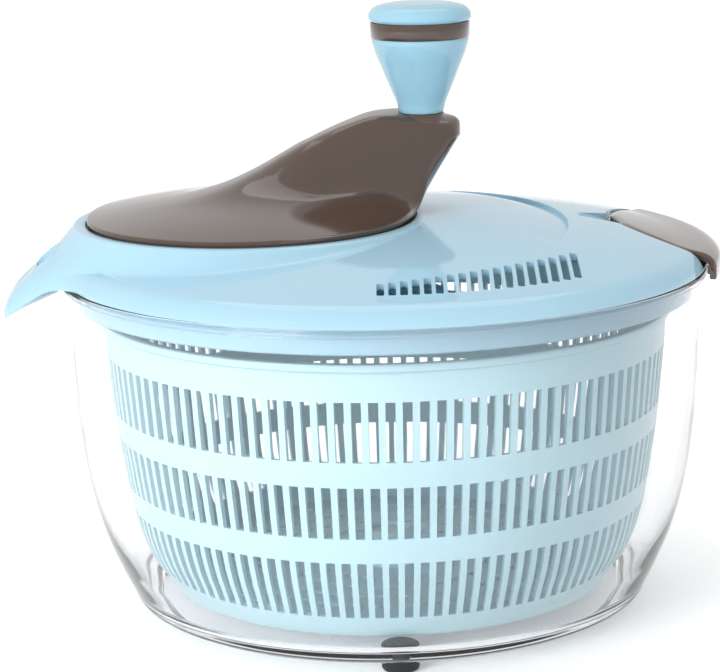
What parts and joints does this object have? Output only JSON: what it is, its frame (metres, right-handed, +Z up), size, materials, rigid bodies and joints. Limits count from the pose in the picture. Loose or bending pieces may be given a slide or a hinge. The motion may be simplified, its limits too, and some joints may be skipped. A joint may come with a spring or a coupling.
{
  "type": "salad spinner",
  "caption": "Hand-cranked salad spinner: slotted basket geared to a crank in a domed lid with beak handle and rim latch, in a clear bowl on rubber feet.",
  "frame": {"origin": "on the basket's spin axis, at the plane of the table under the feet", "axes": "+Z up along the spin axis; the beak handle points to -X and the rim latch to +X"},
  "size_m": [0.2774, 0.25, 0.236],
  "materials": {
    "clear_plastic": "clear polished plastic",
    "blue_plastic": "gloss",
    "pale_blue_plastic": "satin gloss",
    "brown_plastic": "gloss",
    "black_rubber": "matt",
    "steel": "bright",
    "white_plastic": "satin"
  },
  "bodies": {
    "bowl": {"bowl": "clear_plastic", "foot_front": "black_rubber", "foot_right": "black_rubber", "foot_left": "black_rubber"},
    "basket_pivot": {"pivot_cap": "white_plastic"},
    "basket": {"basket": "pale_blue_plastic"},
    "lid": {"lid_shell": "blue_plastic", "gear_cover": "blue_plastic", "gear_cover_screws": "steel", "crank_bush": "white_plastic", "spindle_bush": "white_plastic"},
    "spindle": {"spindle": "steel", "pinion": "white_plastic", "basket_driver": "pale_blue_plastic", "driver_screw": "steel"},
    "crank": {"crank_arm": "brown_plastic", "crank_base": "brown_plastic", "crank_base_screws": "steel", "drive_gear": "white_plastic", "gear_screws": "steel", "knob_pin": "steel", "knob_screw": "steel"},
    "knob": {"knob_grip": "blue_plastic", "knob_ring": "brown_plastic", "knob_cap": "blue_plastic"},
    "latch": {"latch_lever": "brown_plastic", "latch_pin": "steel", "latch_spring": "steel"}
  },
  "joints": [
    {"name": "lid_lift", "type": "slide", "parent": "bowl", "child": "lid", "axis": [0, 0, 1], "range_m": [0, 0.28]},
    {"name": "basket_lift", "type": "slide", "parent": "bowl", "child": "basket_pivot", "axis": [0, 0, 1], "range_m": [0, 0.14]},
    {"name": "basket_turn", "type": "hinge", "parent": "basket_pivot", "child": "basket", "pos_m": [0, 0, 0], "axis": [0, 0, 1], "continuous": true},
    {"name": "crank_turn", "type": "hinge", "parent": "lid", "child": "crank", "pos_m": [-0.051, 0, 0.15], "axis": [0, 0, 1], "continuous": true},
    {"name": "spindle_turn", "type": "hinge", "parent": "lid", "child": "spindle", "pos_m": [0, 0, 0.135], "axis": [0, 0, 1], "continuous": true},
    {"name": "knob_turn", "type": "hinge", "parent": "crank", "child": "knob", "pos_m": [0.0158, 0, 0.2], "axis": [0, 0, 1], "continuous": true},
    {"name": "latch_press", "type": "hinge", "parent": "lid", "child": "latch", "pos_m": [0.1215, 0, 0.1395], "axis": [0, -1, 0], "range_deg": [0, 10], "stiffness_Nm_per_rad": 0.4, "springref_deg": -5.73}
  ],
  "couplings": [
    {"joint": "basket_lift", "follows": "lid_lift", "ratio": 0.5},
    {"joint": "spindle_turn", "follows": "crank_turn", "ratio": -3.8571},
    {"joint": "basket_turn", "follows": "crank_turn", "ratio": -3.8571}
  ]
}
